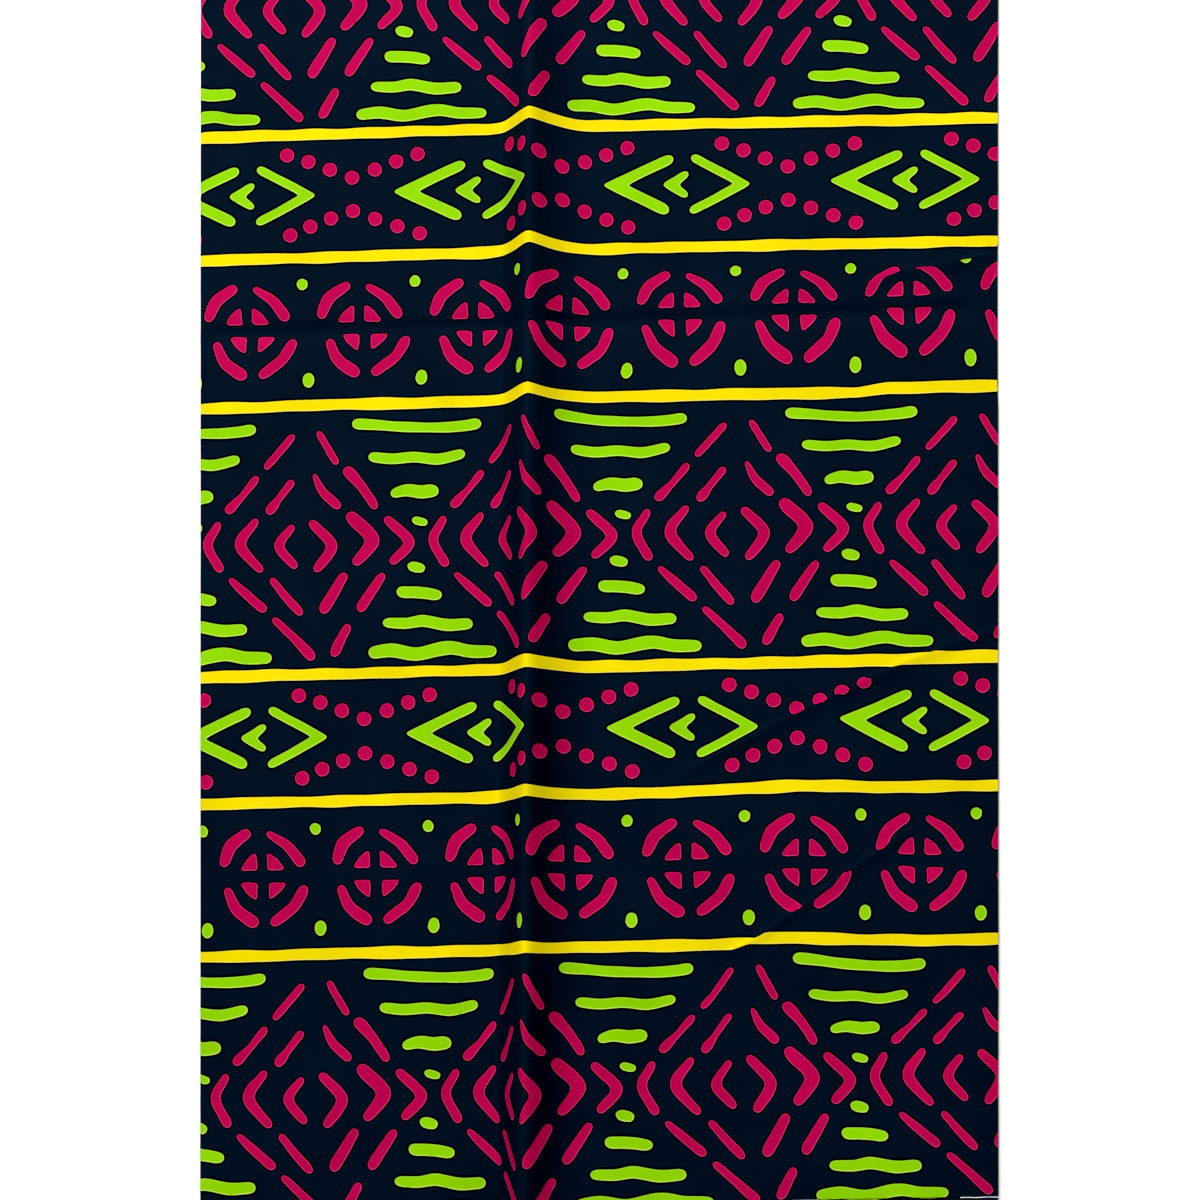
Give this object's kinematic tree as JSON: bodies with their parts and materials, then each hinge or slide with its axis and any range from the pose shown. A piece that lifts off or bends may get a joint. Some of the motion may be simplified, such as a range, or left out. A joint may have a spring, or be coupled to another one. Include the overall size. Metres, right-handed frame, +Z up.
{
  "type": "folded wax print cotton cloth",
  "caption": "Length of banded wax print cotton folded in four and laid flat, with a standing storage crease along it.",
  "frame": {"origin": "under the middle of the folded cloth's box, on the surface it lies on", "axes": "+Z up; +Y along the folded panel from its cut ends to its far fold; +X to the right, from the fold to the selvedges"},
  "size_m": [0.5932, 0.9148, 0.0364],
  "materials": {
    "printed_cotton": "smooth printed cotton, matte with a faint starch sheen"
  },
  "bodies": {
    "root": {"top_layer": "printed_cotton", "under_layers": "printed_cotton"}
  },
  "joints": []
}
